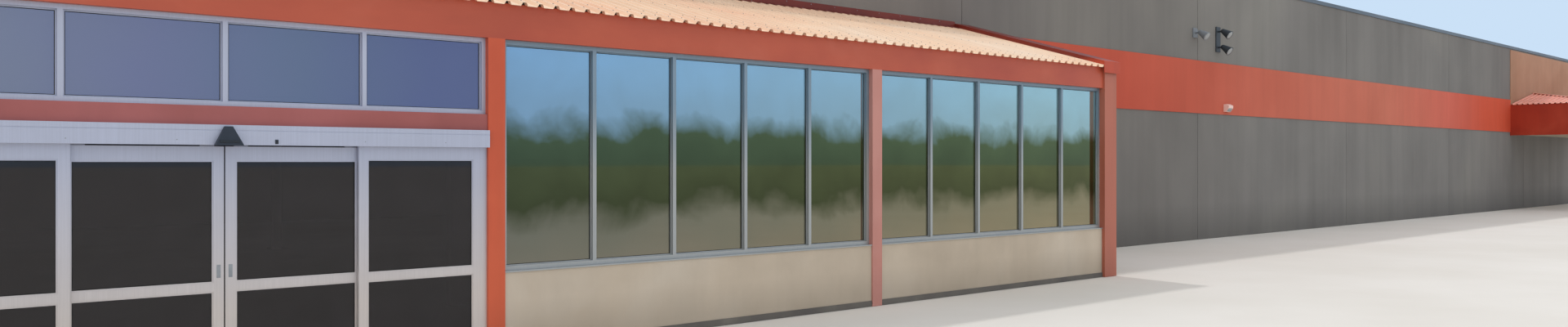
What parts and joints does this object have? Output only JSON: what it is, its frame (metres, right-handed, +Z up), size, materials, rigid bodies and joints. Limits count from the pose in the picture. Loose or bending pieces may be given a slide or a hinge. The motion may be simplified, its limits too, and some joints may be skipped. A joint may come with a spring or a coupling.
{
  "type": "garden center building, 1:2 scale model",
  "caption": "Long flat-roofed store hall, half size, with a glazed lean-to entrance lobby, bi-parting sliding doors and a hipped porch.",
  "frame": {"origin": "on the ground at the middle of the entrance, in the plane of the lobby's glazing", "axes": "+X along the front to the right as seen from outside, +Y into the building, +Z up"},
  "size_m": [39.615, 14.045, 3.7],
  "materials": {
    "orange_paint": "satin orange-red paint",
    "taupe_render": "painted render",
    "dark_curb": "dark painted concrete",
    "aluminium_frame": "satin anodised",
    "reflective_glass": "reflective coated",
    "door_glass": "clear tinted",
    "black_housing": "matt",
    "steel_primer": "matt primer",
    "roofing_sheet": "coated sheet",
    "dark_red_trim": "satin paint",
    "concrete": "trowelled",
    "grey_wall": "painted cast panels",
    "roof_membrane": "matt membrane",
    "dark_coping": "satin paint",
    "tan_render": "painted render",
    "lamp_metal": "satin paint"
  },
  "bodies": {
    "building": {"band_lamp": "lamp_metal", "bulkheads": "taupe_render", "door_bay_beam": "orange_paint", "door_header": "aluminium_frame", "door_jambs": "aluminium_frame", "door_sensor": "black_housing", "door_threshold": "aluminium_frame", "front_band": "orange_paint", "gable_panels": "orange_paint", "hall_back_wall": "grey_wall", "hall_columns": "steel_primer", "hall_floor": "concrete", "hall_front_wall_left": "grey_wall", "hall_front_wall_over_portal": "grey_wall", "hall_front_wall_right": "grey_wall", "hall_left_wall": "grey_wall", "hall_right_wall": "grey_wall", "hall_roof_deck": "roof_membrane", "hall_roof_girders": "steel_primer", "lobby_beams": "orange_paint", "lobby_curbs": "dark_curb", "lobby_floor": "concrete", "lobby_posts": "orange_paint", "lobby_purlins": "steel_primer", "lobby_rafters": "steel_primer", "lobby_rake_trims": "orange_paint", "lobby_roof": "roofing_sheet", "lobby_roof_flashing": "dark_red_trim", "parapet_coping": "dark_coping", "porch_fascia": "orange_paint", "porch_posts": "orange_paint", "porch_roof": "roofing_sheet", "porch_soffit": "taupe_render", "porch_wall_panel": "tan_render", "sidelite_frames": "aluminium_frame", "sidelite_glass": "door_glass", "transom_frame": "aluminium_frame", "transom_glass": "reflective_glass", "wall_lamps": "lamp_metal", "window_frames": "aluminium_frame", "window_glass": "reflective_glass", "window_sills": "aluminium_frame"},
    "right_leaf": {"right_leaf_frame": "aluminium_frame", "right_leaf_glass": "door_glass"},
    "left_leaf": {"left_leaf_frame": "aluminium_frame", "left_leaf_glass": "door_glass"}
  },
  "joints": [
    {"name": "right_leaf_slide", "type": "slide", "parent": "building", "child": "right_leaf", "axis": [1, 0, 0], "range_m": [0, 0.59]},
    {"name": "left_leaf_slide", "type": "slide", "parent": "building", "child": "left_leaf", "axis": [-1, 0, 0], "range_m": [0, 0.59]}
  ],
  "couplings": [
    {"joint": "left_leaf_slide", "follows": "right_leaf_slide", "ratio": 1}
  ]
}
